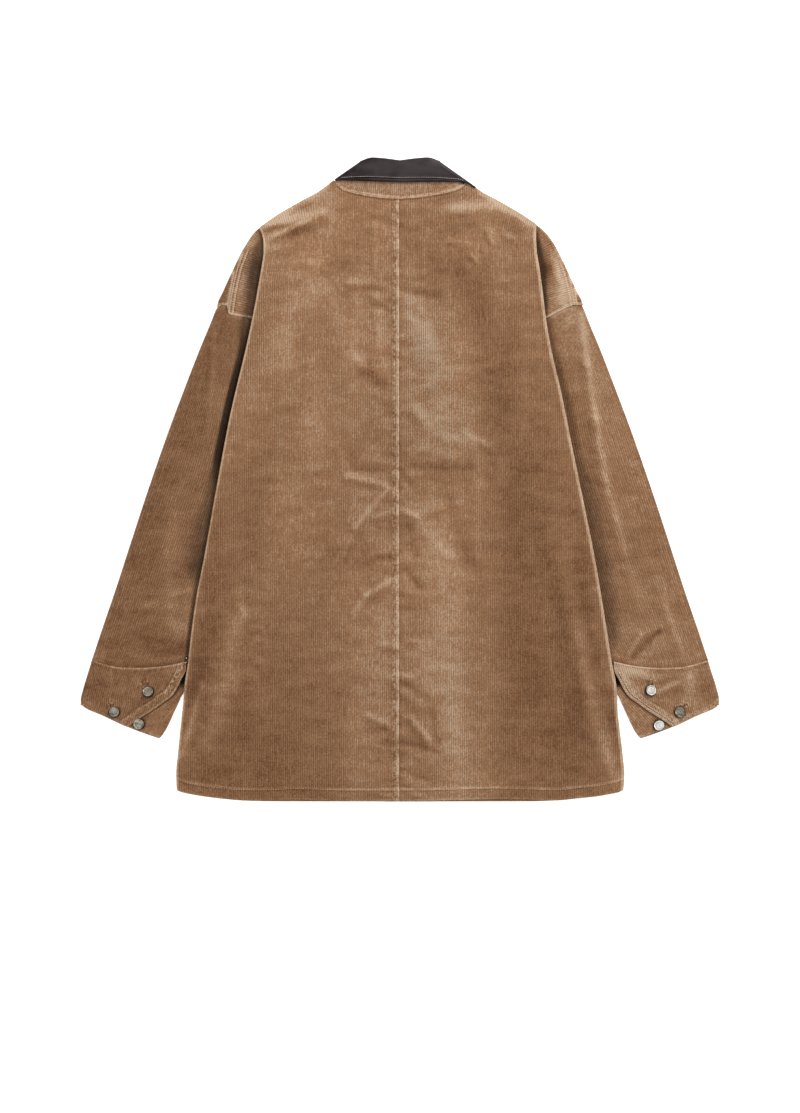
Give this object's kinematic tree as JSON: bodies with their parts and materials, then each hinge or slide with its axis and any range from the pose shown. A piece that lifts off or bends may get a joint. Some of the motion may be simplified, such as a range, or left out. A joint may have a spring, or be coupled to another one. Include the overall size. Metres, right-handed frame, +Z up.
{
  "type": "corduroy jacket",
  "caption": "Oversized corduroy jacket with a folded leather collar, drop shoulders and deep cuffs with slanted button flaps, laid flat on its front, back up.",
  "frame": {"origin": "on the surface the jacket lies on, under the middle of its width and length", "axes": "+Z up from the surface, +Y towards the collar, +X to the right seen from above"},
  "size_m": [0.8312, 0.8368, 0.0174],
  "materials": {
    "corduroy": "napped, soft sheen",
    "collar_leather": "satin",
    "button_metal": "aged, brushed"
  },
  "bodies": {
    "root": {"back_left": "corduroy", "back_right": "corduroy", "back_shoulder_end_left": "corduroy", "back_shoulder_end_right": "corduroy", "front_left": "corduroy", "front_right": "corduroy", "sleeve_left": "corduroy", "sleeve_right": "corduroy", "cuff_left": "corduroy", "cuff_right": "corduroy", "collar_stand": "corduroy", "collar_leaf": "collar_leather", "button_left_upper": "button_metal", "button_left_outer": "button_metal", "button_left_spare": "button_metal", "button_right_upper": "button_metal", "button_right_outer": "button_metal", "button_right_spare": "button_metal"}
  },
  "joints": []
}
